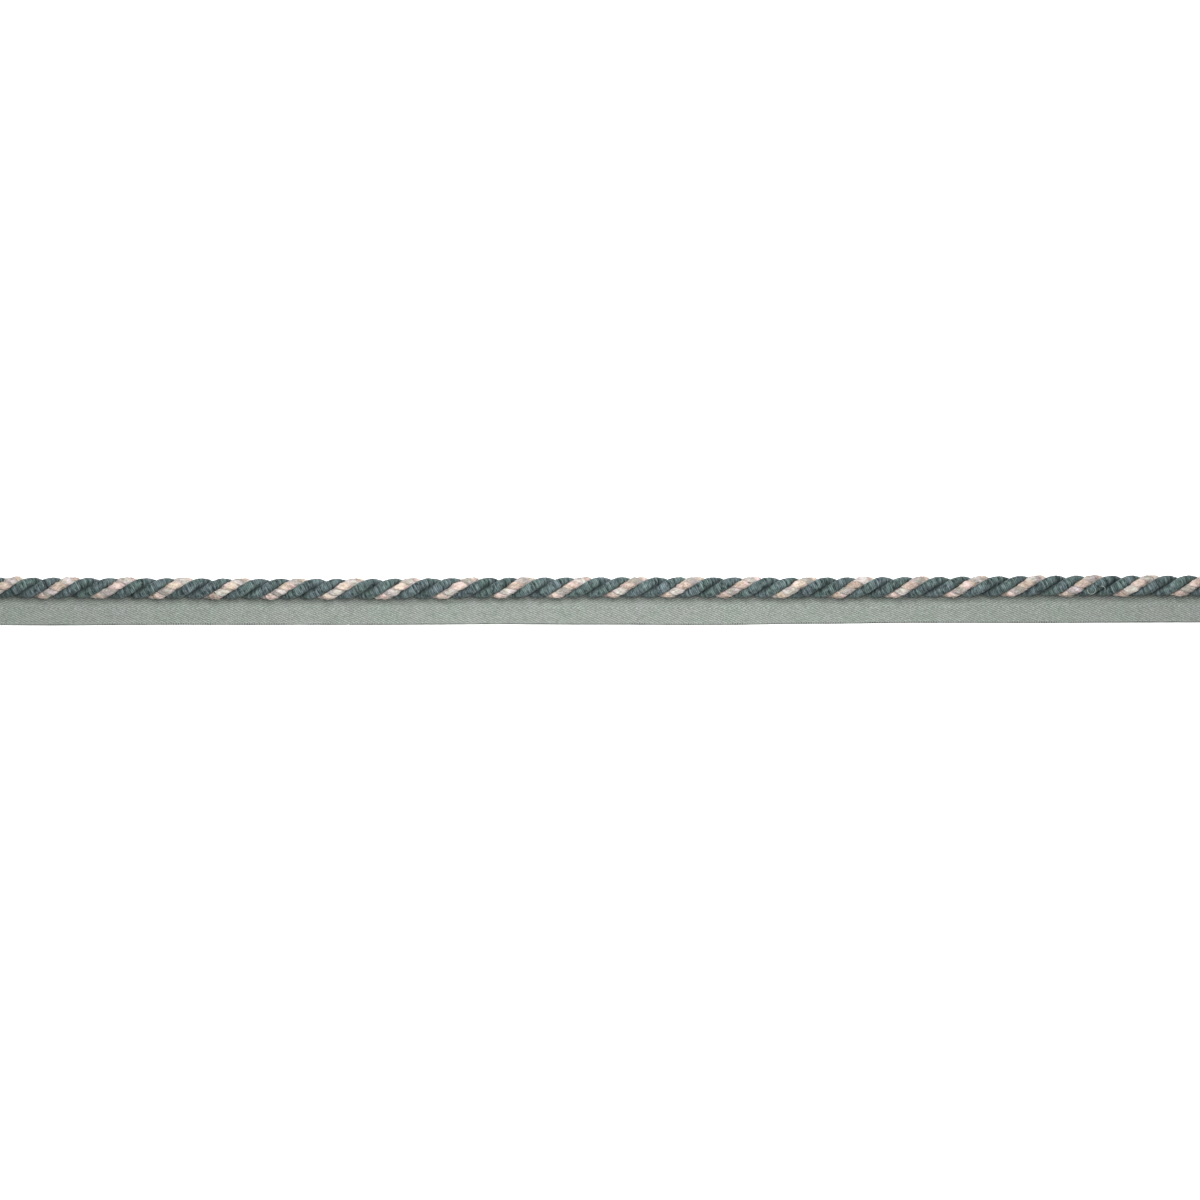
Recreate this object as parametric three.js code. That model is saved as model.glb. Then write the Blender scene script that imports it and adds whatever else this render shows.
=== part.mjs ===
// Cord trim: a three-strand twisted cord, two strands slate and one cream, sewn along one edge of
// a herringbone tape. It lies straight on a surface, as a cut length.
// Units are millimetres. X runs along the trim and +Z is up. The tape's underside is at z = 0 and
// the cord is on the +Y side. The origin is under the middle of the whole trim.
import * as THREE from 'three';

// The cut length, and how it lies
const CUT_LENGTH = 600;
const RISE = 0.00255; // the trim climbs this much of its run towards +X
const CORD_Y = 5.91; // the cord's axis, halfway along
const FREE_EDGE_Y = -10.84; // the tape's free edge, halfway along

// The cord and its strands
const CORD_DIAMETER = 9.4;
const LAY_LENGTH = 26.1; // one full turn of a strand
const CREAM_ON_TOP = -14.9; // x where the cream strand crosses the cord's top
const STRAND_RADIUS = 2.4;
const STRAND_GAP = 0.3;
const STRANDS = 3;
const FREE_ROUND = THREE.MathUtils.degToRad(102); // a strand is round this far to either side of its crown
const ROUND_POINTS = 7;
const STEPS_PER_TURN = 12;

// The tape
const TAPE_THICKNESS = 1;
const TAPE_UNDERLAP = 2.3; // it reaches this far past the cord's axis
const SEAM_GAP = 0.3; // between the cord's underside and the tape

// How unevenly the trim lies: the sideways drift of the cord and of the tape's free edge, and how
// far the twist runs ahead of an even lay
const LIE = [
  { along: -300, cord: 1.0, edge: 0.4, twist: 1.4 },
  { along: -250, cord: 0.5, edge: 0.05, twist: -0.3 },
  { along: -200, cord: 0.15, edge: 0.2, twist: -0.3 },
  { along: -150, cord: -0.25, edge: 0.05, twist: -0.2 },
  { along: -100, cord: -0.35, edge: -0.1, twist: -0.2 },
  { along: -50, cord: 0, edge: 0.05, twist: 0.8 },
  { along: 0, cord: 0.1, edge: -0.25, twist: 0.3 },
  { along: 50, cord: -0.05, edge: -0.55, twist: -0.2 },
  { along: 100, cord: -0.35, edge: -0.1, twist: -0.5 },
  { along: 150, cord: -0.15, edge: 0.2, twist: -0.5 },
  { along: 200, cord: 0.25, edge: 0, twist: 0.7 },
  { along: 250, cord: 0.2, edge: 0.1, twist: 0 },
  { along: 300, cord: 0, edge: 0.1, twist: 0 },
];

// Colours and finish
const SLATE = { color: 0x59686a, roughness: 0.85, metalness: 0 };
const CREAM = { color: 0xbcb2a9, roughness: 0.95, metalness: 0 };
const TAPE_GREY = { color: 0xa7aea6, roughness: 0.9, metalness: 0 };

const CORD_Z = TAPE_THICKNESS + SEAM_GAP + CORD_DIAMETER / 2;
const HELIX_RADIUS = CORD_DIAMETER / 2 - STRAND_RADIUS;

// Reads one column of the table at x, easing from row to row
function lieAt(x, column) {
  const spacing = LIE[1].along - LIE[0].along;
  const place = (x - LIE[0].along) / spacing;
  const row = THREE.MathUtils.clamp(Math.floor(place), 0, LIE.length - 2);
  const ease = THREE.MathUtils.smoothstep(place - row, 0, 1);
  return THREE.MathUtils.lerp(LIE[row][column], LIE[row + 1][column], ease);
}

function cordY(x) {
  return CORD_Y + RISE * x + lieAt(x, 'cord');
}

function freeEdgeY(x) {
  return FREE_EDGE_Y + RISE * x + lieAt(x, 'edge');
}

// The turn of the first strand about the cord's axis at x: 0 is on top, and it turns towards +Y
function turnAt(x) {
  return (2 * Math.PI * (x - CREAM_ON_TOP - lieAt(x, 'twist'))) / LAY_LENGTH;
}

// A strand's section across the cord, out along its own crown and sideways. It is round where it
// stands free, and from there two flats run in along its neighbours to a corner by the axis.
function strandSection() {
  const slant = Math.atan((2 * Math.PI * HELIX_RADIUS) / LAY_LENGTH);
  const halfWidth = STRAND_RADIUS / Math.cos(slant);
  const points = [{ out: STRAND_GAP / 2 / Math.sin(Math.PI / STRANDS), side: 0 }];
  for (let i = 0; i < ROUND_POINTS; i++) {
    const angle = THREE.MathUtils.lerp(-FREE_ROUND, FREE_ROUND, i / (ROUND_POINTS - 1));
    points.push({
      out: HELIX_RADIUS + STRAND_RADIUS * Math.cos(angle),
      side: halfWidth * Math.sin(angle),
    });
  }
  return points;
}

// Sweeps the section along the cord, turning as it goes. Each face between two steps is split
// from its corner nearer the axis, so that facing sides of two strands are split alike and stay apart.
function strandGeometry(strand) {
  const section = strandSection();
  const sides = section.length;
  const steps = Math.round((CUT_LENGTH / LAY_LENGTH) * STEPS_PER_TURN);
  const positions = [];
  for (let step = 0; step <= steps; step++) {
    const x = (step / steps - 0.5) * CUT_LENGTH;
    const turn = turnAt(x) + (2 * Math.PI * strand) / STRANDS;
    for (const { out, side } of section) {
      positions.push(
        x,
        cordY(x) + out * Math.sin(turn) + side * Math.cos(turn),
        CORD_Z + out * Math.cos(turn) - side * Math.sin(turn),
      );
    }
  }
  const reach = section.map(({ out, side }) => Math.hypot(out, side));
  const faces = [];
  for (let step = 0; step < steps; step++) {
    for (let i = 0; i < sides; i++) {
      const j = (i + 1) % sides;
      const [a, b] = [step * sides + i, step * sides + j];
      const [c, d] = [b + sides, a + sides];
      faces.push(...(reach[i] < reach[j] ? [a, c, b, a, d, c] : [a, d, b, b, d, c]));
    }
  }
  const last = steps * sides;
  for (let i = 1; i < sides - 1; i++) {
    faces.push(0, i, i + 1, last, last + i + 1, last + i);
  }
  const geometry = new THREE.BufferGeometry();
  geometry.setAttribute('position', new THREE.Float32BufferAttribute(positions, 3));
  geometry.setIndex(faces);
  geometry.computeVertexNormals();
  return geometry;
}

// The tape, from its free edge to the edge hidden under the cord
function tapeGeometry() {
  const places = LIE.map(({ along }) => along);
  const freeEdge = places.map((x) => new THREE.Vector2(x, freeEdgeY(x)));
  const hiddenEdge = places.map((x) => new THREE.Vector2(x, cordY(x) + TAPE_UNDERLAP));
  const outline = new THREE.Shape([...freeEdge, ...hiddenEdge.reverse()]);
  return new THREE.ExtrudeGeometry(outline, { depth: TAPE_THICKNESS, bevelEnabled: false });
}

function piece(name, geometry, finish) {
  const mesh = new THREE.Mesh(geometry, new THREE.MeshStandardMaterial(finish));
  mesh.name = name;
  return mesh;
}

const trim = new THREE.Group();
trim.name = 'cord_trim';
trim.add(
  piece('strand_cream', strandGeometry(0), CREAM),
  piece('strand_slate_a', strandGeometry(1), SLATE),
  piece('strand_slate_b', strandGeometry(2), SLATE),
  piece('flange_tape', tapeGeometry(), TAPE_GREY),
);

export default trim;
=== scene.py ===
"""Cord trim: a three-strand twisted cord on the edge of a herringbone tape, round its solids.

Sizes are in millimetres, as in the part's source, and add_mesh turns them into metres."""

import math

import bmesh
import bpy
import numpy as np
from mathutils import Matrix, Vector


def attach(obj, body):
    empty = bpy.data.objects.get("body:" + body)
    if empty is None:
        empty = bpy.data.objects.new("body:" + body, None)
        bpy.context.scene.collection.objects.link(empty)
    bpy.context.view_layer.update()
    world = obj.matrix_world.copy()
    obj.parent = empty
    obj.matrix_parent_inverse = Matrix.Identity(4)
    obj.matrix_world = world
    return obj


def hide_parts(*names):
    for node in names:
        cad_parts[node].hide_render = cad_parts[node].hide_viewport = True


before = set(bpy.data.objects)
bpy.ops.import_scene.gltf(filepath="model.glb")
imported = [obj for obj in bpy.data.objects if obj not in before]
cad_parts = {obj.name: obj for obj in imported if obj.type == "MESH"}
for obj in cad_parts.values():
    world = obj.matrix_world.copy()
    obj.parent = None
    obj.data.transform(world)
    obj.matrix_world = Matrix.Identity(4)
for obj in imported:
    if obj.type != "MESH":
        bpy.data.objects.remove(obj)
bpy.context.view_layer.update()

MM = 0.001
FULL_TURN = 2 * math.pi
OFF_EVERY_PATH = (0.31, 0.2, 0.93)  # a direction that no thread runs in

# The cut length and its lie, as in the solids
CUT_LENGTH = 600
HALF_LENGTH = CUT_LENGTH / 2
RISE = 0.00255
CORD_Y = 5.91
FREE_EDGE_Y = -10.84
CORD_DIAMETER = 9.4
LAY_LENGTH = 26.1
TAPE_THICKNESS = 1
TAPE_UNDERLAP = 2.3
SEAM_GAP = 0.3
LIE_COLUMNS = ("along", "cord", "edge", "twist")
LIE_ROWS = (
    (-300, 1.0, 0.4, 1.4),
    (-250, 0.5, 0.05, -0.3),
    (-200, 0.15, 0.2, -0.3),
    (-150, -0.25, 0.05, -0.2),
    (-100, -0.35, -0.1, -0.2),
    (-50, 0, 0.05, 0.8),
    (0, 0.1, -0.25, 0.3),
    (50, -0.05, -0.55, -0.2),
    (100, -0.35, -0.1, -0.5),
    (150, -0.15, 0.2, -0.5),
    (200, 0.25, 0, 0.7),
    (250, 0.2, 0.1, 0),
    (300, 0, 0.1, 0),
)
LIE = {name: np.array(column, float) for name, column in zip(LIE_COLUMNS, zip(*LIE_ROWS))}
CORD_Z = TAPE_THICKNESS + SEAM_GAP + CORD_DIAMETER / 2
OVERRUN = 4  # strands and tape are made this much too long, then cut square

# The strands: where the cream one crosses the top, and how far round each lies. The slate ones are
# nearer to it than a third of a turn. The cord is drawn in on its sewn side and full on the other.
CREAM_ON_TOP = -14.6
STRAND_TURNS = (0, math.radians(112.5), math.radians(247.5))
SEWN_SIDE = 0.935
FREE_SIDE = 1.018

# A strand's section: its radius, how far out it lies, how much broader than thick it is and how
# much fuller towards the cord's core, its most half width, and the direction and distance at which
# it is pressed flat against each neighbour
SECTION_KEYS = ("radius", "helix", "broader", "fuller", "side", "flat_angle", "flat_distance")
CREAM = dict(zip(SECTION_KEYS, (2.55, 2.5, 0, 0, 2.15, 135.2, 2.05)))
SLATE = dict(zip(SECTION_KEYS, (2.2, 2.62, 0.1, 0.16, 3.0, 135.4, 2.7)))
PRESS_SHARPNESS = 10

# The slate strands: fine thread wound round a soft core
WRAP_PITCH = 0.72
WRAP_ROWS = (-0.16, 0.0, 0.0)  # height of a winding's surface, row by row
WRAP_SIDES = 28
WRAP_LEAN = 0.1
LUMPS, BUMPS, THREAD_UNEVEN = 0.05, 0.03, 0.03  # how uneven the wrapped surface is, coarse to fine
VALLEY_STARTS, VALLEY_SPREAD = 1.05, 0.55  # angles from the outward side to its flanks, where shade is painted darker

# The cream strand: two yarns twisted against the cord's own lay
PLY_TURNS_PER_LAY = 4
PLY_START = 1.35
PLY_OFFSET = 0.6
PLY_THICK = 1.95
PLY_WIDE = 2.12
PLY_SPLIT = 0.03
PLY_STEP = 0.3
PLY_SIDES = 24
PLY_WANDER = 0.22  # how far the yarns' twist runs ahead or behind, in radians
WANDER_SPOTS, WANDER_BEYOND = 300, 9  # how often it changes, and how far past the cut ends
PLY_CLEFT = 1.1  # how deep the cleft between the two yarns is, where the neighbour's fibres mix in and shade is painted a little darker
FIBRE_TURN = 0.75  # radians that the fibres turn in each millimetre
CLUMP_RADIUS = 1.6

# Stray fibres: how many lie on each yarn and slate strand, and the ranges of their sizes
YARN_STRAYS = 4500
YARN_STRAY_LENGTHS = (0.7, 1.9)
YARN_STRAY_RADII = (0.035, 0.07)
WRAP_STRAYS = 900
WRAP_STRAY_RADII = (0.025, 0.045)
STRAY_RINGS = 4
STRAY_REACH = HALF_LENGTH - 2  # none is found further out

# The tape and its weave
TWILL_REPEAT = 2.25
TWILL_SLOPE = 0.458
TWILL_TURNS_AT = 7.7  # from the free edge, where the lines turn back
TWILL_RIDGE = 0.07
TWILL_COLUMNS = 4
TWILL_SWAY = 0.4
END_SPACING = 0.26
PICK_PAIR = 1.13  # between the ticks where the crosswise thread turns back
TICKS_AT = 0.42  # from the free edge
SELVEDGE_ENDS = 0.7  # from the free edge, where the plain selvedge gives way to twill

# The tape's surface, and how far along or across the cloth each change of it spreads
TAPE_TOP = 0.88
TAPE_UNDER = 0.03
EDGE_HEIGHT = 0.4  # of the free edge's outermost line
EDGE_THINNED, EDGE_SPREAD = 0.42, 0.22
TAPE_LIFT, LIFT_SPREAD = 0.65, 1.5  # where it is sewn up against the cord
SCALLOP, SCALLOP_SPREAD = 0.05, 0.25
WAVE = 0.05
CREASE_X, CREASE_DEPTH, CREASE_SPREAD = 196, 0.12, 0.5
NOTCH_X, NOTCH_DEPTH, NOTCH_LENGTH, NOTCH_REACH = -116, 0.25, 0.4, 0.5

# The overcasting under the cord
STITCH_PITCH = 4
STITCH_INSET = 1.6
STITCH_HEIGHT = 0.35
STITCH_SWING = (0.55, 0.85)  # sideways and up
STITCH_RADIUS = 0.17
STITCH_CLEAR = 3  # from each cut end
STITCH_POINTS = 1800

# Loops of loose thread: x, y, radius, and the angles they run between
LOOSE_LOOPS = ((225.8, 4.9, 1.9, 175, 395), (230.6, 5.3, 1.4, 115, -15))
LOOP_POINTS = 15
LOOP_REACH = 5.0  # from the cord's axis
LOOP_DIP = 0.5  # at their ends, into the cord
LOOP_RADIUS = 0.09


def lie_at(x, column):
    """One column of the table at x, easing from row to row."""
    spacing = LIE["along"][1] - LIE["along"][0]
    place = (x - LIE["along"][0]) / spacing
    row = np.clip(np.floor(place).astype(int), 0, len(LIE["along"]) - 2)
    t = np.clip(place - row, 0, 1)
    ease = t * t * (3 - 2 * t)
    return LIE[column][row] * (1 - ease) + LIE[column][row + 1] * ease


def cord_y(x):
    return CORD_Y + RISE * x + lie_at(x, "cord")


def free_edge_y(x):
    return FREE_EDGE_Y + RISE * x + lie_at(x, "edge")


def turn_at(x):
    """The turn of the cream strand about the cord at x: 0 is on top, and it turns towards +Y."""
    return FULL_TURN * (x - CREAM_ON_TOP - lie_at(x, "twist")) / LAY_LENGTH


def smooth_noise(rng, shape, spans):
    """Even noise of about unit height, smoothed over so many rows and columns, that joins up."""
    field = np.fft.fft2(rng.normal(size=shape))
    for axis, span in enumerate(spans):
        steps = np.fft.fftfreq(shape[axis])
        fade = np.exp(-0.5 * (FULL_TURN * steps * span / 2) ** 2)
        field *= fade[:, None] if axis == 0 else fade[None, :]
    made = np.fft.ifft2(field).real
    return made / made.std()


# Meshes


def add_mesh(name, points, faces, materials, attributes=None):
    """An object of these points, in millimetres, with named values or vectors at its points."""
    mesh = bpy.data.meshes.new(name)
    mesh.from_pydata((np.asarray(points, float) * MM).tolist(), [], faces)
    for label, data in (attributes or {}).items():
        data = np.asarray(data, np.float32)
        kind, field = ("FLOAT", "value") if data.ndim == 1 else ("FLOAT_VECTOR", "vector")
        mesh.attributes.new(label, kind, "POINT").data.foreach_set(field, data.ravel())
    for material in materials:
        mesh.materials.append(material)
    mesh.shade_smooth()
    made = bpy.data.objects.new(name, mesh)
    bpy.context.scene.collection.objects.link(made)
    return made


def ring_faces(rows, columns):
    """Four-sided faces between the rings of a tube, each ring of the same number of points."""
    row, column = np.meshgrid(np.arange(rows - 1), np.arange(columns), indexing="ij")
    beside = (column + 1) % columns
    corners = [row * columns + column, (row + 1) * columns + column]
    corners += [(row + 1) * columns + beside, row * columns + beside]
    return np.stack([c.ravel() for c in corners], axis=1)


def add_threads(name, paths, radii, sides, materials):
    """Thin closed tubes, one along each path, with a radius at each of its points."""
    count, rings = paths.shape[:2]
    tangent = np.gradient(paths, axis=1)
    tangent /= np.linalg.norm(tangent, axis=-1, keepdims=True)
    across = np.cross(tangent, OFF_EVERY_PATH)
    across /= np.linalg.norm(across, axis=-1, keepdims=True)
    beside = np.cross(tangent, across)
    angle = np.linspace(0, FULL_TURN, sides, endpoint=False)[:, None]
    around = np.cos(angle) * across[:, :, None] + np.sin(angle) * beside[:, :, None]
    points = paths[:, :, None] + radii[..., None, None] * around
    starts = np.arange(count) * rings * sides
    tube = ring_faces(rings, sides)[None] + starts[:, None, None]
    near = starts[:, None] + np.arange(sides)[None, ::-1]
    far = starts[:, None] + (rings - 1) * sides + np.arange(sides)[None]
    faces = tube.reshape(-1, 4).tolist() + near.tolist() + far.tolist()
    return add_mesh(name, points.reshape(-1, 3), faces, materials)


def cut_square(piece):
    """Cuts both ends of a tube at the cut length and closes them with the second material."""
    work = bmesh.new()
    work.from_mesh(piece.data)
    for side in (-1, 1):
        everything = work.verts[:] + work.edges[:] + work.faces[:]
        cut = bmesh.ops.bisect_plane(
            work,
            geom=everything,
            plane_co=(side * HALF_LENGTH * MM, 0, 0),
            plane_no=(side, 0, 0),
            clear_outer=True,
        )
        rim = [e for e in cut["geom_cut"] if isinstance(e, bmesh.types.BMEdge)]
        for face in bmesh.ops.holes_fill(work, edges=rim, sides=0)["faces"]:
            face.material_index = 1
            face.smooth = False
    bmesh.ops.recalc_face_normals(work, faces=work.faces[:])
    work.to_mesh(piece.data)
    work.free()


def dress(piece, node=None):
    """Puts the piece on the trim, and in place of a solid if named."""
    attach(piece, "root")
    if node:
        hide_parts(node)
    return piece


# Strands


def slant_of(section):
    """The angle between a strand and the cord."""
    return math.atan(FULL_TURN * section["helix"] / LAY_LENGTH)


def strand_point(x, strand, section, out_by, side_by):
    """The point this far outward and sideways, square to the strand, from its centre at x."""
    turn, slant = turn_at(x) + STRAND_TURNS[strand], slant_of(section)
    outward = section["helix"] + out_by
    across = side_by * math.cos(slant)
    beside = outward * np.sin(turn) + across * np.cos(turn)
    y = cord_y(x) + np.where(beside < 0, SEWN_SIDE, FREE_SIDE) * beside
    z = CORD_Z + outward * np.cos(turn) - across * np.sin(turn)
    return np.stack([x - side_by * math.sin(slant), y, z], axis=-1)


def pressed(angle, section):
    """A strand's radius at an angle from its outward side: round, but flat at its neighbours."""
    inverse = (1 / section["radius"]) ** PRESS_SHARPNESS
    inverse = inverse + (np.abs(np.sin(angle)) / section["side"]) ** PRESS_SHARPNESS
    for neighbour in (-section["flat_angle"], section["flat_angle"]):
        toward = np.maximum(np.cos(angle - math.radians(neighbour)), 0)
        inverse = inverse + (toward / section["flat_distance"]) ** PRESS_SHARPNESS
    swell = section["broader"] * np.sin(angle) ** 2
    swell = swell + section["fuller"] * np.maximum(-np.cos(angle), 0) ** 6
    return inverse ** (-1 / PRESS_SHARPNESS) * (1 + swell)


def slate_strand(name, strand, seed, materials):
    """One slate strand, a tube whose rows follow the windings of its thread."""
    rng = np.random.default_rng(seed)
    slant = slant_of(SLATE)
    pitch_x = WRAP_PITCH * math.cos(slant)
    windings = round((CUT_LENGTH + 2 * OVERRUN) / pitch_x)
    rows = windings * len(WRAP_ROWS)
    x = (np.arange(rows) / rows - 0.5) * windings * pitch_x
    angle = np.linspace(0, FULL_TURN, WRAP_SIDES, endpoint=False)
    x_at = x[:, None] + WRAP_LEAN * np.sin(angle)[None, :]
    uneven = LUMPS * smooth_noise(rng, (rows, WRAP_SIDES), (24, 3))
    uneven += BUMPS * smooth_noise(rng, (rows, WRAP_SIDES), (4, 3))
    uneven *= np.clip(0.6 + np.cos(angle), 0.1, 1)[None, :]
    thread = rng.normal(scale=THREAD_UNEVEN, size=windings)
    thread = np.repeat(thread, len(WRAP_ROWS))[:, None]
    height = np.tile(WRAP_ROWS, windings)[:, None]
    radius = pressed(angle, SLATE)[None, :] + uneven + thread + height
    angle = np.broadcast_to(angle, radius.shape)
    points = strand_point(x_at, strand, SLATE, radius * np.cos(angle), radius * np.sin(angle))
    tone = np.repeat(rng.normal(size=windings), len(WRAP_ROWS))[:, None]
    tone = tone * 0.55 + 0.6 * smooth_noise(rng, (rows, WRAP_SIDES), (1.1, 2.2))
    along = np.broadcast_to(x[:, None] / math.cos(slant), angle.shape)
    around = SLATE["radius"]
    lay = np.stack([around * np.cos(angle), around * np.sin(angle), along], -1)
    # Where shade is painted darker: the grooves between windings and the flanks where the strands
    # meet
    from_crown = math.pi - np.abs(math.pi - angle)
    valley = np.clip((from_crown - VALLEY_STARTS) / VALLEY_SPREAD, 0, 1)
    hollow_and_painted_shade = np.maximum(height < 0, valley)
    piece = add_mesh(
        name,
        points.reshape(-1, 3),
        ring_faces(rows, WRAP_SIDES).tolist(),
        materials,
        {"lay": lay.reshape(-1, 3), "tone": tone.ravel(), "hollow_and_painted_shade": hollow_and_painted_shade.ravel()},
    )
    cut_square(piece)
    return piece


def ply_angle(x, half):
    """Which way a yarn of the cream strand lies from the strand's centre at x."""
    reach = HALF_LENGTH + WANDER_BEYOND
    spots = np.linspace(-reach, reach, WANDER_SPOTS)
    wander = smooth_noise(np.random.default_rng(7), (WANDER_SPOTS, 1), (16, 1))[:, 0]
    drift = np.interp(x, spots, PLY_WANDER * wander)
    return PLY_START - PLY_TURNS_PER_LAY * turn_at(x) + drift + math.pi * half


def ply_point(x, half, psi, swell):
    """A point on one yarn: psi turns round the yarn, and swell is 1 on its mean surface."""
    away = np.maximum(PLY_OFFSET + PLY_THICK * swell * np.cos(psi), PLY_SPLIT)
    across = PLY_WIDE * swell * np.sin(psi)
    beta = ply_angle(x, half)
    u = away * np.cos(beta) - across * np.sin(beta)
    v = away * np.sin(beta) + across * np.cos(beta)
    squeeze = pressed(np.arctan2(v, u), CREAM) / CREAM["radius"]
    return strand_point(x, 0, CREAM, u * squeeze, v * squeeze)


def cream_ply(name, half, seed, materials):
    """One of the cream strand's two yarns, which share it, each rounded on its outer side."""
    rng = np.random.default_rng(seed)
    rows = round((CUT_LENGTH + 2 * OVERRUN) / PLY_STEP)
    x = (np.arange(rows) / (rows - 1) - 0.5)[:, None] * (CUT_LENGTH + 2 * OVERRUN)
    psi = np.linspace(0, FULL_TURN, PLY_SIDES, endpoint=False)[None, :]
    x, psi = np.broadcast_arrays(x, psi)
    swell = 1 + 0.06 * smooth_noise(rng, (rows, 1), (30, 1))
    swell = swell + 0.065 * smooth_noise(rng, x.shape, (6, 2.2))
    swell = swell + 0.045 * smooth_noise(rng, x.shape, (2, 1.2))
    along = x / math.cos(slant_of(CREAM))
    fibre_turn = psi - FIBRE_TURN * along
    lay = [CLUMP_RADIUS * np.cos(fibre_turn), CLUMP_RADIUS * np.sin(fibre_turn), along]
    lay = np.stack(lay, -1)
    tone = 0.8 * smooth_noise(rng, (rows, 1), (14, 1)) + 0.6 * smooth_noise(rng, x.shape, (7, 3))
    # Nearest the other yarn: its fibres mix in here, and a painted shade darkens it
    hollow_and_painted_shade = np.clip(1 - (PLY_OFFSET + PLY_THICK * np.cos(psi)) / PLY_CLEFT, 0, 1)
    piece = add_mesh(
        name,
        ply_point(x, half, psi, swell).reshape(-1, 3),
        ring_faces(rows, PLY_SIDES).tolist(),
        materials,
        {"lay": lay.reshape(-1, 3), "tone": tone.ravel(), "hollow_and_painted_shade": hollow_and_painted_shade.ravel()},
    )
    cut_square(piece)
    return piece


def stray_shape(rng, count, mean_lift, most_lift):
    """How far along, and how far lifted, each point of some stray fibres is."""
    t = np.linspace(-0.5, 0.5, STRAY_RINGS)[None, :]
    lift = np.minimum(rng.exponential(mean_lift, count), most_lift)[:, None]
    arched = rng.random(count)[:, None] < 0.6
    return t, lift * np.where(arched, 1 - 4 * t * t, (t + 0.5) ** 2)


def ply_strays(name, half, seed, count, materials):
    """Stray fibres that stand a little off one of the cream strand's yarns."""
    rng = np.random.default_rng(seed)
    t, lift = stray_shape(rng, count, 0.1, 0.45)
    x = rng.uniform(-STRAY_REACH, STRAY_REACH, (count, 1))
    x = x + t * rng.uniform(*YARN_STRAY_LENGTHS, (count, 1))
    psi = rng.uniform(-2.1, 2.1, (count, 1)) + t * rng.normal(0.6, 1.1, (count, 1))
    radii = rng.uniform(*YARN_STRAY_RADII, (count, 1)) * (1 - 1.3 * t * t)
    return add_threads(name, ply_point(x, half, psi, 1.02 + lift), radii, 3, materials)


def slate_strays(name, strand, seed, count, materials):
    """Stray fibres along the windings of a slate strand."""
    rng = np.random.default_rng(seed)
    t, lift = stray_shape(rng, count, 0.12, 0.7)
    angle = rng.uniform(-1.9, 1.9, (count, 1)) + t * rng.uniform(0.5, 1.1, (count, 1))
    x = rng.uniform(-STRAY_REACH, STRAY_REACH, (count, 1)) + WRAP_LEAN * np.sin(angle)
    x = x + t * rng.normal(0, 0.8, (count, 1))
    radius = pressed(angle, SLATE) + 0.03 + lift
    radii = rng.uniform(*WRAP_STRAY_RADII, (count, 1)) * (1 - 1.3 * t * t)
    paths = strand_point(x, strand, SLATE, radius * np.cos(angle), radius * np.sin(angle))
    return add_threads(name, paths, radii, 3, materials)


def loose_loops(materials):
    """The two loops of fine thread that stand off the cord near one end."""
    paths = []
    for x, y, radius, start, end in LOOSE_LOOPS:
        sweep = np.radians(np.linspace(start, end, LOOP_POINTS))
        across = y + radius * np.sin(sweep)
        height = CORD_Z + np.sqrt(LOOP_REACH**2 - (across - cord_y(x)) ** 2)
        height = height - LOOP_DIP * np.linspace(-1, 1, LOOP_POINTS) ** 4
        paths.append(np.stack([x + radius * np.cos(sweep), across, height], -1))
    paths = np.array(paths)
    return add_threads("loose_loops", paths, np.full(paths.shape[:2], LOOP_RADIUS), 6, materials)


def seam_thread(materials):
    """The overcasting thread that holds the cord on the tape, out of sight under the cord."""
    x = np.linspace(-HALF_LENGTH + STITCH_CLEAR, HALF_LENGTH - STITCH_CLEAR, STITCH_POINTS)
    coil = FULL_TURN * x / STITCH_PITCH
    y = cord_y(x) - STITCH_INSET + STITCH_SWING[0] * np.cos(coil)
    z = TAPE_THICKNESS + STITCH_HEIGHT + STITCH_SWING[1] * np.sin(coil)
    paths = np.stack([x, y, z], -1)[None]
    return add_threads("seam_thread", paths, np.full(paths.shape[:2], STITCH_RADIUS), 6, materials)


# The tape


def twill_lean(v):
    """How far the twill lines have shifted along the tape at a distance v from the free edge."""
    return (TWILL_TURNS_AT - np.abs(v - TWILL_TURNS_AT)) / TWILL_SLOPE


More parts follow.
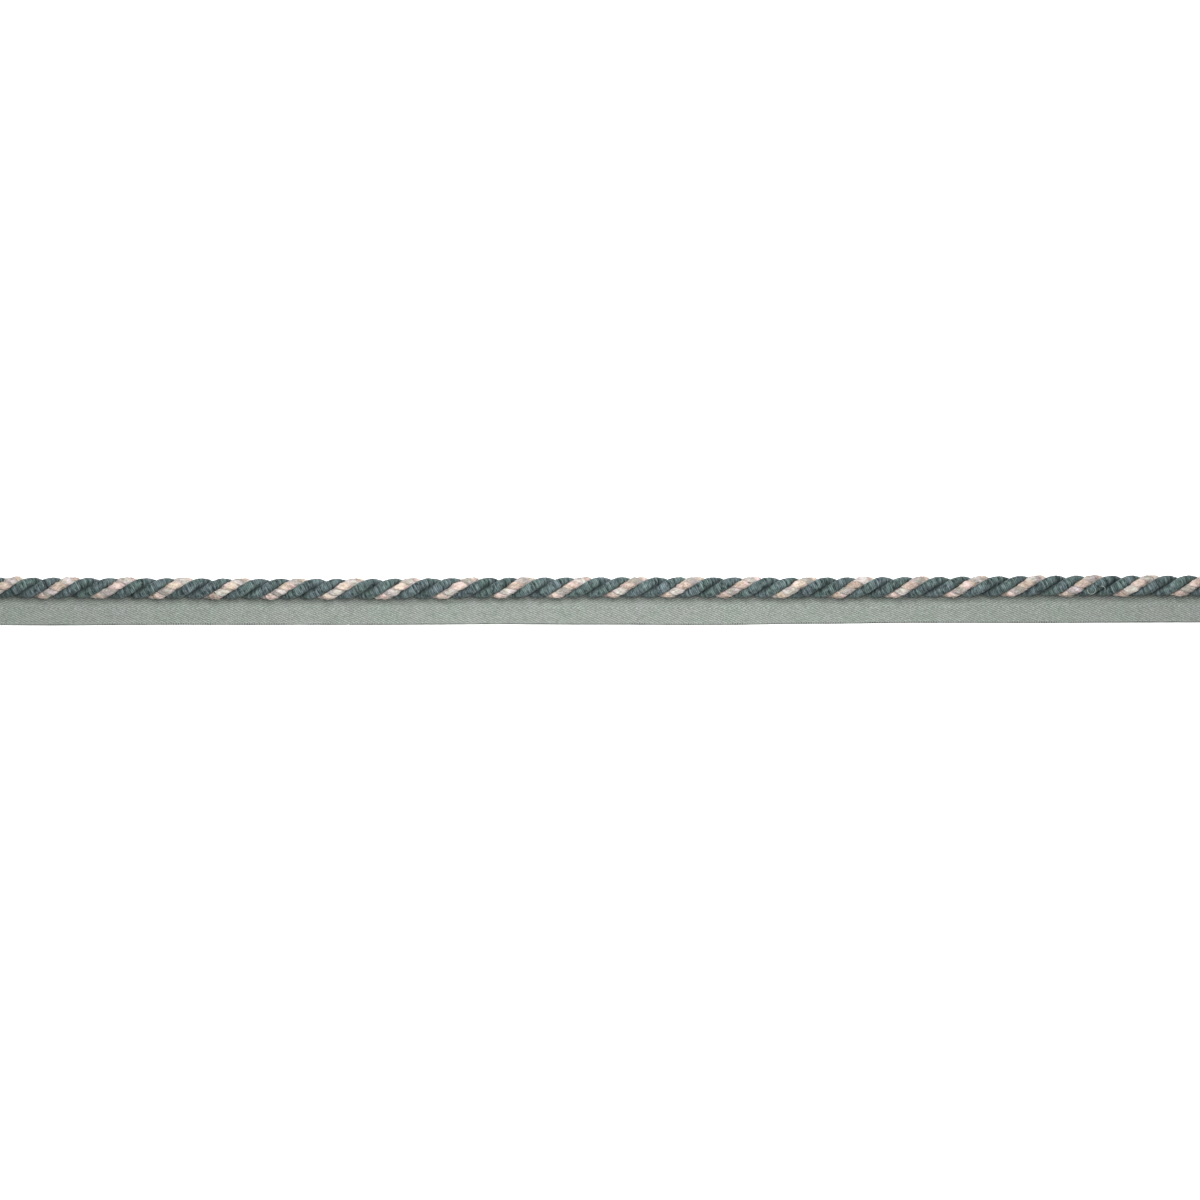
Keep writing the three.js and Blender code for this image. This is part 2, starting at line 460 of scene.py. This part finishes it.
def tape_cloth(materials):
    """The tape as one thin closed sheet, its columns laid along the lines of the twill."""
    rng = np.random.default_rng(31)
    inner = cord_y(0.0) + TAPE_UNDERLAP - free_edge_y(0.0)
    below, above = np.linspace(1.2, TWILL_TURNS_AT, 13), np.linspace(8.8, inner - 0.6, 14)
    top = np.concatenate([[0, 0.12, 0.35, 0.7], below, above, [inner - 0.25, inner]])
    bottom = np.linspace(inner - 0.3, 0.3, 9)
    v = np.concatenate([top, bottom])
    on_top = np.arange(len(v)) < len(top)
    pad = 2 * TWILL_TURNS_AT / TWILL_SLOPE + OVERRUN
    rows = round((CUT_LENGTH + 2 * pad) / TWILL_REPEAT) * TWILL_COLUMNS
    phase = (np.arange(rows)[:, None] / TWILL_COLUMNS) * np.ones_like(v)[None, :]
    start = -HALF_LENGTH - OVERRUN
    x = start + phase * TWILL_REPEAT - twill_lean(v)[None, :]
    width = cord_y(x) + TAPE_UNDERLAP - free_edge_y(x)
    scallop = SCALLOP * np.sin(FULL_TURN * x / PICK_PAIR) * np.exp(-((v / SCALLOP_SPREAD) ** 2))
    off_notch = ((x - NOTCH_X) / NOTCH_LENGTH) ** 2 + (v / NOTCH_REACH) ** 2
    y = free_edge_y(x) + v * width / inner + scallop + NOTCH_DEPTH * np.exp(-off_notch)
    edge = np.minimum(v, inner - v)
    thin = EDGE_THINNED * np.exp(-((edge / EDGE_SPREAD) ** 2))
    ridge = TWILL_RIDGE * np.cos(FULL_TURN * phase) * np.clip((v - SELVEDGE_ENDS) / 0.6, 0, 1)
    lift = TAPE_LIFT * np.exp(-(((y - cord_y(x)) / LIFT_SPREAD) ** 2))
    wave = WAVE * smooth_noise(rng, x.shape, (40, 9))
    crease = CREASE_DEPTH * np.exp(-(((x - CREASE_X) / CREASE_SPREAD) ** 2))
    z_top = TAPE_TOP - thin + ridge + lift + wave - crease
    z = np.where(on_top, z_top, TAPE_UNDER)
    z = np.where(np.arange(len(v)) == 0, EDGE_HEIGHT, z)
    points = np.stack([x, y, z], -1)
    weave = np.stack([phase, np.broadcast_to(v, x.shape), x], -1)
    piece = add_mesh(
        "tape_cloth",
        points.reshape(-1, 3),
        ring_faces(rows, len(v)).tolist(),
        materials,
        {"weave": weave.reshape(-1, 3)},
    )
    cut_square(piece)
    return piece


# Node helpers


def new_material(name):
    material = bpy.data.materials.new(name)
    material.use_nodes = True
    material.node_tree.nodes.clear()
    return material


def node(tree, kind, inputs=None, **settings):
    """Adds a node with these settings. An input is a socket, which is linked, or a value."""
    made = tree.nodes.new(kind)
    for key, value in settings.items():
        setattr(made, key, value)
    for key, value in (inputs or {}).items():
        if isinstance(value, bpy.types.NodeSocket):
            tree.links.new(value, made.inputs[key])
        else:
            made.inputs[key].default_value = value
    return made


def maths(tree, operation, *values):
    return node(tree, "ShaderNodeMath", dict(enumerate(values)), operation=operation).outputs[0]


def times(tree, *values):
    """The product of any number of values."""
    made = values[0]
    for value in values[1:]:
        made = maths(tree, "MULTIPLY", made, value)
    return made


def ranged(tree, value, low, high, to_low=0.0, to_high=1.0):
    """Maps a value's range, held within its ends."""
    inputs = {0: value, 1: low, 2: high, 3: to_low, 4: to_high}
    return node(tree, "ShaderNodeMapRange", inputs).outputs[0]


def mixed(tree, factor, first, second, blend="MIX"):
    inputs = {0: factor, 6: first, 7: second}
    made = node(tree, "ShaderNodeMix", inputs, data_type="RGBA", blend_type=blend)
    return made.outputs[2]


def grain(tree, vector, scale, detail=2.0):
    """Noise from 0 to 1, with so many lumps to a unit of the vector."""
    inputs = {"Vector": vector, "Scale": scale, "Detail": detail}
    return node(tree, "ShaderNodeTexNoise", inputs).outputs["Fac"]


def stretched(tree, vector, factors):
    made = node(tree, "ShaderNodeVectorMath", {0: vector, 1: factors}, operation="MULTIPLY")
    return made.outputs[0]


def attribute(tree, name, output="Vector"):
    return node(tree, "ShaderNodeAttribute", attribute_name=name).outputs[output]


def object_mm(tree):
    """Coordinates on the object, in millimetres."""
    coordinates = node(tree, "ShaderNodeTexCoord").outputs["Object"]
    return stretched(tree, coordinates, (1 / MM, 1 / MM, 1 / MM))


def cloth_shader(tree, colour, height, depth, roughness=0.9, sheen=0.2, tint=(1, 1, 1)):
    """A soft matte surface of this colour, with this height raised by depth in millimetres."""
    bump = node(tree, "ShaderNodeBump", {"Height": height, "Distance": depth * MM})
    shader = node(
        tree,
        "ShaderNodeBsdfPrincipled",
        {
            "Base Color": colour,
            "Normal": bump.outputs[0],
            "Roughness": roughness,
            "Specular IOR Level": 0.2,
            "Sheen Weight": sheen,
            "Sheen Roughness": 0.6,
            "Sheen Tint": (*tint, 1),
        },
    )
    node(tree, "ShaderNodeOutputMaterial", {"Surface": shader.outputs[0]})


# Materials


def slate_wrap_material():
    """Fine slate-teal thread wound round and round, with each winding a little different."""
    material = new_material("slate_wrap")
    tree = material.node_tree
    lay, tone = attribute(tree, "lay"), attribute(tree, "tone", "Fac")
    hollow_and_painted_shade = attribute(tree, "hollow_and_painted_shade", "Fac")
    fibres = grain(tree, stretched(tree, lay, (0.8, 0.8, 1.9)), 2.0, 3)
    patch = grain(tree, object_mm(tree), 0.12, 1)
    level = maths(tree, "MULTIPLY_ADD", tone, 0.25, fibres)
    dark, light = (0.013, 0.023, 0.023, 1), (0.157, 0.207, 0.203, 1)
    colour = mixed(tree, ranged(tree, level, 0.12, 0.93), dark, light)
    greener, bluer = (0.97, 1.015, 0.97, 1), (1.02, 0.975, 1.06, 1)
    hue = mixed(tree, ranged(tree, patch, 0.38, 0.62), greener, bluer)
    colour = mixed(tree, 1.0, colour, hue, "MULTIPLY")
    # Painted shade: darker in the grooves between windings and on the flanks where the strands
    # meet
    shade = maths(tree, "MULTIPLY_ADD", hollow_and_painted_shade, -0.52, 1.0)
    colour = mixed(tree, 1.0, colour, shade, "MULTIPLY")
    cloth_shader(tree, colour, fibres, 0.08, 0.6, 0.1, (0.75, 0.9, 0.9))
    return material


def yarn_material(name, dark, middle, light, neighbour):
    """Soft spun yarn: clumps of fibre, other shades, and its neighbour's fibres at the rim."""
    material = new_material(name)
    tree = material.node_tree
    lay, tone = attribute(tree, "lay"), attribute(tree, "tone", "Fac")
    hollow_and_painted_shade = attribute(tree, "hollow_and_painted_shade", "Fac")
    clumps = grain(tree, stretched(tree, lay, (1.6, 1.6, 0.5)), 1.3, 3)
    fibres = grain(tree, stretched(tree, lay, (5.0, 5.0, 1.2)), 1.6, 3)
    level = maths(tree, "MULTIPLY_ADD", tone, 0.12, clumps)
    colour = mixed(tree, ranged(tree, level, 0.3, 0.52), (*dark, 1), (*middle, 1))
    colour = mixed(tree, ranged(tree, level, 0.48, 0.72), colour, (*light, 1))
    hue = grain(tree, object_mm(tree), 0.22, 1)
    warm = mixed(tree, ranged(tree, hue, 0.35, 0.65), (1.05, 0.965, 0.995, 1), (1.0, 1.0, 0.9, 1))
    colour = mixed(tree, 1.0, colour, warm, "MULTIPLY")
    streak = ranged(tree, fibres, 0.3, 0.7, 0.72, 1.16)
    colour = mixed(tree, 1.0, colour, streak, "MULTIPLY")
    caught = maths(tree, "MULTIPLY_ADD", fibres, 1.2, hollow_and_painted_shade)
    colour = mixed(tree, ranged(tree, caught, 0.6, 1.4, 0, 0.35), colour, (*neighbour, 1))
    # Painted shade, a little darker in the cleft between the yarns
    shade = maths(tree, "MULTIPLY_ADD", hollow_and_painted_shade, -0.1, 1.0)
    colour = mixed(tree, 1.0, colour, shade, "MULTIPLY")
    height = maths(tree, "MULTIPLY_ADD", fibres, 0.5, clumps)
    cloth_shader(tree, colour, height, 0.2, 0.95, 0.15, (1, 0.97, 0.94))
    return material


def fibre_material(name, dark, light):
    """Single fibres of yarn, each a slightly different shade along its length."""
    material = new_material(name)
    tree = material.node_tree
    shades = grain(tree, object_mm(tree), 1.1, 1)
    colour = mixed(tree, ranged(tree, shades, 0.35, 0.65), (*dark, 1), (*light, 1))
    cloth_shader(tree, colour, shades, 0.02, 0.8, 0)
    return material


def cut_material(name, dark, light):
    """The cut end of a strand or the tape: a bed of fibre ends."""
    material = new_material(name)
    tree = material.node_tree
    place = object_mm(tree)
    tips = node(tree, "ShaderNodeTexVoronoi", {"Vector": place, "Scale": 5.0}).outputs["Distance"]
    # Lighter on the fibre tips, with painted shade in the hollows between them
    colour = mixed(tree, ranged(tree, tips, 0.1, 0.6), (*light, 1), (*dark, 1))
    cloth_shader(tree, colour, tips, -0.15)
    return material


def twill_pattern(tree, v, along):
    """How high each thread floats, how round it is, and the cell of the weave that it is in."""
    # Each lengthwise thread floats over half a repeat, one step further on than its neighbour
    end = maths(tree, "FLOOR", maths(tree, "DIVIDE", v, END_SPACING))
    end_v = times(tree, maths(tree, "ADD", end, 0.5), END_SPACING)
    off_turn = maths(tree, "ABSOLUTE", maths(tree, "SUBTRACT", end_v, TWILL_TURNS_AT))
    lean = maths(tree, "DIVIDE", maths(tree, "SUBTRACT", TWILL_TURNS_AT, off_turn), TWILL_SLOPE)
    place = maths(tree, "ADD", maths(tree, "ADD", along, HALF_LENGTH + OVERRUN), lean)
    sway = times(tree, grain(tree, object_mm(tree), 0.35, 2), TWILL_SWAY)
    repeat = maths(tree, "DIVIDE", maths(tree, "ADD", place, sway), TWILL_REPEAT)
    around = times(tree, repeat, FULL_TURN)
    float_up = ranged(tree, maths(tree, "COSINE", around), -0.45, 0.75)
    across_end = maths(tree, "SINE", times(tree, v, FULL_TURN / 2 / END_SPACING))
    round_end = maths(tree, "ABSOLUTE", across_end)
    pillow = times(tree, float_up, maths(tree, "POWER", round_end, 0.6))
    step = maths(tree, "FLOOR", times(tree, repeat, 3))
    cell = node(tree, "ShaderNodeCombineXYZ", {0: step, 1: end}).outputs[0]
    return pillow, round_end, cell


def selvedge_ticks(tree, v, along):
    """Dark ticks near the free edge, where the crosswise thread turns back."""
    jitter = times(tree, grain(tree, stretched(tree, object_mm(tree), (0.5, 0, 0)), 1.0), 1.4)
    turns = times(tree, along, FULL_TURN / PICK_PAIR)
    ticks = maths(tree, "SINE", maths(tree, "ADD", turns, jitter))
    off_line = maths(tree, "ABSOLUTE", maths(tree, "SUBTRACT", v, TICKS_AT))
    near_edge = ranged(tree, off_line, 0.2, 0.45, 1, 0)
    stretch = grain(tree, stretched(tree, object_mm(tree), (0.09, 0, 0)), 1.0, 2)
    strength = times(tree, near_edge, ranged(tree, stretch, 0.38, 0.6, 0.3, 1))
    return times(tree, ranged(tree, ticks, -0.1, 0.4, 0, 1), strength)


def twill_material():
    """Herringbone twill in grey-green cotton, with its selvedge."""
    material = new_material("tape_twill")
    tree = material.node_tree
    weave = node(tree, "ShaderNodeSeparateXYZ", {0: attribute(tree, "weave")}).outputs
    v, along = weave[1], weave[2]
    pillow, round_end, cell = twill_pattern(tree, v, along)
    # Floating threads lighter and sunk ones darker: partly the weave's two tones, partly painted
    # shade, which also darkens each thread's sides
    colour = mixed(tree, pillow, (0.14, 0.159, 0.143, 1), (0.274, 0.304, 0.275, 1))
    fleck = node(tree, "ShaderNodeTexWhiteNoise", {0: cell}, noise_dimensions="2D").outputs[0]
    colour = mixed(tree, 1.0, colour, ranged(tree, fleck, 0, 1, 0.78, 1.22), "MULTIPLY")
    lint = grain(tree, stretched(tree, object_mm(tree), (1.0, 1.3, 1.0)), 2.4, 1)
    colour = mixed(tree, 1.0, colour, ranged(tree, lint, 0.25, 0.75, 0.82, 1.18), "MULTIPLY")
    # The selvedge's threads: painted shade darker between them, lighter on their crowns
    between, crown = (0.152, 0.17, 0.155, 1), (0.232, 0.256, 0.234, 1)
    plain = mixed(tree, ranged(tree, round_end, 0.1, 0.8), between, crown)
    body = ranged(tree, v, SELVEDGE_ENDS, SELVEDGE_ENDS + 0.4)
    colour = mixed(tree, body, plain, colour)
    colour = mixed(tree, selvedge_ticks(tree, v, along), colour, (0.025, 0.03, 0.03, 1))
    # Soft drifts between greener and greyer cloth
    patch = grain(tree, object_mm(tree), 0.08, 2)
    greyer = mixed(tree, 1.0, colour, (1.05, 1.0, 1.04, 1), "MULTIPLY")
    colour = mixed(tree, ranged(tree, patch, 0.35, 0.65), colour, greyer)
    height = maths(tree, "MULTIPLY_ADD", lint, 0.3, pillow)
    cloth_shader(tree, colour, height, 0.07, 0.9, 0.12, (0.95, 1, 0.95))
    return material


def floor_material():
    """Matt white, very slightly uneven."""
    material = new_material("floor_white")
    tree = material.node_tree
    faint = grain(tree, object_mm(tree), 0.02, 1)
    colour = mixed(tree, faint, (0.9, 0.9, 0.9, 1), (0.92, 0.92, 0.92, 1))
    shader = node(tree, "ShaderNodeBsdfPrincipled", {"Base Color": colour, "Roughness": 0.95})
    shader.inputs["Specular IOR Level"].default_value = 0.1
    node(tree, "ShaderNodeOutputMaterial", {"Surface": shader.outputs[0]})
    return material


# Camera, lights and floor


PHOTO_WIDTH = 552  # how much of the trim's length the view spans
CAMERA_HEIGHT = 3000
CAMERA_Y = 0.34
SENSOR = 36
# Place, target, size and power of each light
NEAR_LIGHT = ((0, 100, 500), (0, 0, 0), (280, 340), 3.4)
HIGH_LIGHT = ((0, 600, 3200), (0, 0, 0), (2200, 2100), 134)
FLOOR_REACH = 6000


def set_camera():
    """Looks straight down on the trim, as the photograph does."""
    data = bpy.data.cameras.new("camera")
    data.sensor_width = SENSOR
    data.lens = SENSOR * (CAMERA_HEIGHT - CORD_Z) / PHOTO_WIDTH
    data.clip_end = 100
    camera = bpy.data.objects.new("camera", data)
    camera.location = (0, CAMERA_Y * MM, CAMERA_HEIGHT * MM)
    bpy.context.scene.collection.objects.link(camera)
    bpy.context.scene.camera = camera


def add_area_light(name, place, target, size, power):
    """An oblong soft light at a place, turned to its target, with its sizes in millimetres."""
    data = bpy.data.lights.new(name, "AREA")
    data.shape = "RECTANGLE"
    data.size, data.size_y = size[0] * MM, size[1] * MM
    data.energy = power
    light = bpy.data.objects.new(name, data)
    light.location = [p * MM for p in place]
    away = light.location - Vector([t * MM for t in target])
    light.rotation_euler = away.to_track_quat("Z", "Y").to_euler()
    light.visible_camera = False
    bpy.context.scene.collection.objects.link(light)


def set_lights():
    """A soft light over the trim, a wide one high up, and a sky that is bright at the horizon."""
    add_area_light("near_soft_box", *NEAR_LIGHT)
    add_area_light("high_soft_box", *HIGH_LIGHT)
    world = bpy.data.worlds.new("studio")
    bpy.context.scene.world = world
    world.use_nodes = True
    tree = world.node_tree
    upward = node(tree, "ShaderNodeTexCoord").outputs["Generated"]
    rise = node(tree, "ShaderNodeSeparateXYZ", {0: upward}).outputs[2]
    strength = ranged(tree, rise, 0.02, 0.1, 0.9, 0.06)
    tree.links.new(strength, tree.nodes["Background"].inputs["Strength"])
    tree.nodes["Background"].inputs["Color"].default_value = (1, 1, 1, 1)


def set_floor():
    """A plain white floor that reaches out of every view."""
    mesh = bpy.data.meshes.new("floor")
    reach = FLOOR_REACH * MM
    corners = [(-reach, -reach, 0), (reach, -reach, 0), (reach, reach, 0), (-reach, reach, 0)]
    mesh.from_pydata(corners, [], [(0, 1, 2, 3)])
    mesh.materials.append(floor_material())
    floor = bpy.data.objects.new("floor", mesh)
    bpy.context.scene.collection.objects.link(floor)


def build_strands():
    slate_cut = cut_material("slate_cut", (0.03, 0.045, 0.045), (0.09, 0.11, 0.11))
    slate = [slate_wrap_material(), slate_cut]
    dress(slate_strand("wrap_slate_a", 1, 11, slate), "strand_slate_a")
    dress(slate_strand("wrap_slate_b", 2, 12, slate), "strand_slate_b")
    cream_cut = cut_material("cream_cut", (0.15, 0.13, 0.12), (0.34, 0.3, 0.27))
    # The dark, middle and light shades of each yarn
    peach = ((0.255, 0.21, 0.18), (0.37, 0.315, 0.286), (0.485, 0.425, 0.4))
    grey = ((0.225, 0.216, 0.205), (0.342, 0.331, 0.324), (0.455, 0.442, 0.434))
    peach_yarn = yarn_material("yarn_peach", *peach, neighbour=grey[1])
    grey_yarn = yarn_material("yarn_grey", *grey, neighbour=peach[1])
    dress(cream_ply("ply_peach", 0, 13, [peach_yarn, cream_cut]), "strand_cream")
    dress(cream_ply("ply_grey", 1, 14, [grey_yarn, cream_cut]), "strand_cream")


def build_strays():
    peach = [fibre_material("fibre_peach", (0.4, 0.33, 0.27), (0.62, 0.54, 0.47))]
    grey = [fibre_material("fibre_grey", (0.3, 0.28, 0.26), (0.48, 0.45, 0.43))]
    slate = [fibre_material("fibre_slate", (0.06, 0.085, 0.08), (0.22, 0.27, 0.26))]
    pale = [fibre_material("thread_pale", (0.3, 0.35, 0.32), (0.45, 0.5, 0.47))]
    dress(ply_strays("strays_peach", 0, 15, YARN_STRAYS, peach))
    dress(ply_strays("strays_grey", 1, 16, YARN_STRAYS, grey))
    dress(slate_strays("strays_slate_a", 1, 17, WRAP_STRAYS, slate))
    dress(slate_strays("strays_slate_b", 2, 18, WRAP_STRAYS, slate))
    dress(loose_loops(pale))


def build_tape():
    cut = cut_material("tape_cut", (0.09, 0.1, 0.09), (0.2, 0.21, 0.2))
    cloth = tape_cloth([twill_material(), cut])
    dress(cloth, "flange_tape")
    thread = fibre_material("thread_grey", (0.1, 0.11, 0.1), (0.2, 0.22, 0.2))
    dress(seam_thread([thread]))


def build():
    set_camera()
    set_floor()
    set_lights()
    bpy.context.scene.view_settings.view_transform = "Standard"
    bpy.context.scene.view_settings.gamma = 0.85
    build_strands()
    build_strays()
    build_tape()


build()
